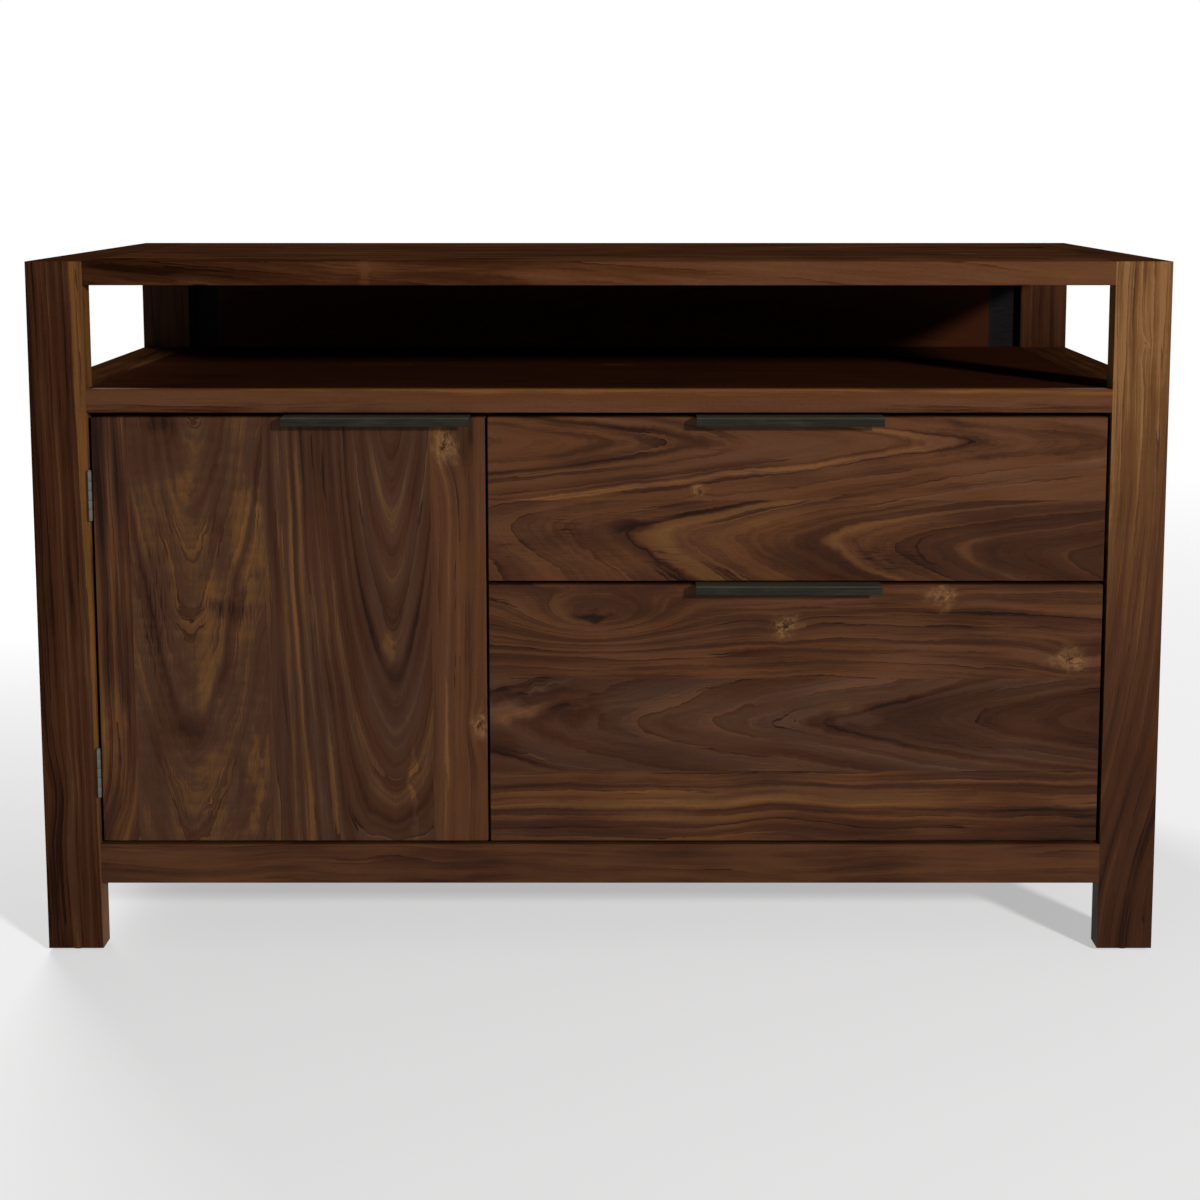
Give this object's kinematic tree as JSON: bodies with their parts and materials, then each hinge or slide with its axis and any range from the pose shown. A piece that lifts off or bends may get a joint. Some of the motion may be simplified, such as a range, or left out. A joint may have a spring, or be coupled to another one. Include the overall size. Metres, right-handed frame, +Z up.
{
  "type": "office credenza",
  "caption": "Low walnut office credenza on flat frame legs, with an open pass-through bay over a hinged door and two edge-pull drawers, the lower one for files.",
  "frame": {"origin": "centre of the footprint on the floor, pulls included", "axes": "+Z up, fronts face -Y, +X to the right seen from the front"},
  "size_m": [1.2192, 0.524, 0.762],
  "materials": {
    "walnut_frame": "oiled walnut, satin",
    "walnut_fronts": "oiled figured walnut, satin",
    "walnut_panels": "walnut panel, satin",
    "maple_box": "clear lacquered maple",
    "maple_ply": "clear lacquered plywood",
    "blackened_steel": "blackened steel, waxed",
    "hinge_steel": "satin steel",
    "zinc_slide": "bright zinc plate",
    "screw_steel": "zinc plated screw",
    "magnet": "bare ferrite",
    "catch_plastic": "brown moulded plastic",
    "glide_nylon": "dark nylon",
    "brush_nylon": "black nylon bristles in a black strip"
  },
  "bodies": {
    "carcass": {"top_panel": "walnut_frame", "left_top_rail": "walnut_frame", "right_top_rail": "walnut_frame", "front_left_leg": "walnut_frame", "front_right_leg": "walnut_frame", "rear_left_leg": "walnut_frame", "rear_right_leg": "walnut_frame", "shelf_panel": "walnut_frame", "left_shelf_rail": "walnut_frame", "right_shelf_rail": "walnut_frame", "bay_back_panel": "walnut_panels", "bay_cable_brushes": "brush_nylon", "left_side_panel": "walnut_panels", "right_side_panel": "walnut_panels", "bottom_panel": "walnut_panels", "case_back_panel": "walnut_panels", "partition_panel": "walnut_panels", "front_bottom_rail": "walnut_frame", "rear_bottom_rail": "walnut_frame", "slide_packers": "walnut_panels", "adjustable_shelf": "walnut_panels", "shelf_pins": "zinc_slide", "foot_glides": "glide_nylon", "hinge_case_leaves": "hinge_steel", "hinge_pins": "hinge_steel", "hinge_case_screws": "hinge_steel", "catch_housing": "catch_plastic", "catch_magnet": "magnet", "back_screws": "screw_steel", "upper_slide_case_members": "zinc_slide", "lower_slide_case_members": "zinc_slide"},
    "door": {"door_panel": "walnut_fronts", "door_pull": "blackened_steel", "door_pull_screws": "screw_steel", "hinge_door_leaves": "hinge_steel", "hinge_door_screws": "hinge_steel", "catch_strike": "zinc_slide"},
    "upper_drawer": {"upper_drawer_front": "walnut_fronts", "upper_drawer_inner_front": "maple_box", "upper_drawer_left_side": "maple_box", "upper_drawer_right_side": "maple_box", "upper_drawer_back": "maple_box", "upper_drawer_bottom": "maple_ply", "upper_drawer_pull": "blackened_steel", "upper_drawer_pull_screws": "screw_steel", "upper_drawer_front_screws": "screw_steel", "upper_slide_drawer_members": "zinc_slide"},
    "lower_drawer": {"lower_drawer_front": "walnut_fronts", "lower_drawer_inner_front": "maple_box", "lower_drawer_left_side": "maple_box", "lower_drawer_right_side": "maple_box", "lower_drawer_back": "maple_box", "lower_drawer_bottom": "maple_ply", "lower_drawer_pull": "blackened_steel", "lower_drawer_pull_screws": "screw_steel", "lower_drawer_front_screws": "screw_steel", "lower_slide_drawer_members": "zinc_slide", "file_rails": "zinc_slide"},
    "upper_runners": {"upper_slide_runners": "zinc_slide"},
    "lower_runners": {"lower_slide_runners": "zinc_slide"}
  },
  "joints": [
    {"name": "door_hinge", "type": "hinge", "parent": "carcass", "child": "door", "pos_m": [-0.5469, -0.2487, 0.36], "axis": [0, 0, -1], "range_deg": [0, 170]},
    {"name": "upper_drawer_slide", "type": "slide", "parent": "carcass", "child": "upper_drawer", "axis": [0, -1, 0], "range_m": [0, 0.4]},
    {"name": "lower_drawer_slide", "type": "slide", "parent": "carcass", "child": "lower_drawer", "axis": [0, -1, 0], "range_m": [0, 0.4]},
    {"name": "upper_runner_slide", "type": "slide", "parent": "carcass", "child": "upper_runners", "axis": [0, -1, 0], "range_m": [0, 0.2]},
    {"name": "lower_runner_slide", "type": "slide", "parent": "carcass", "child": "lower_runners", "axis": [0, -1, 0], "range_m": [0, 0.2]}
  ],
  "couplings": [
    {"joint": "upper_runner_slide", "follows": "upper_drawer_slide", "ratio": 0.5},
    {"joint": "lower_runner_slide", "follows": "lower_drawer_slide", "ratio": 0.5}
  ]
}
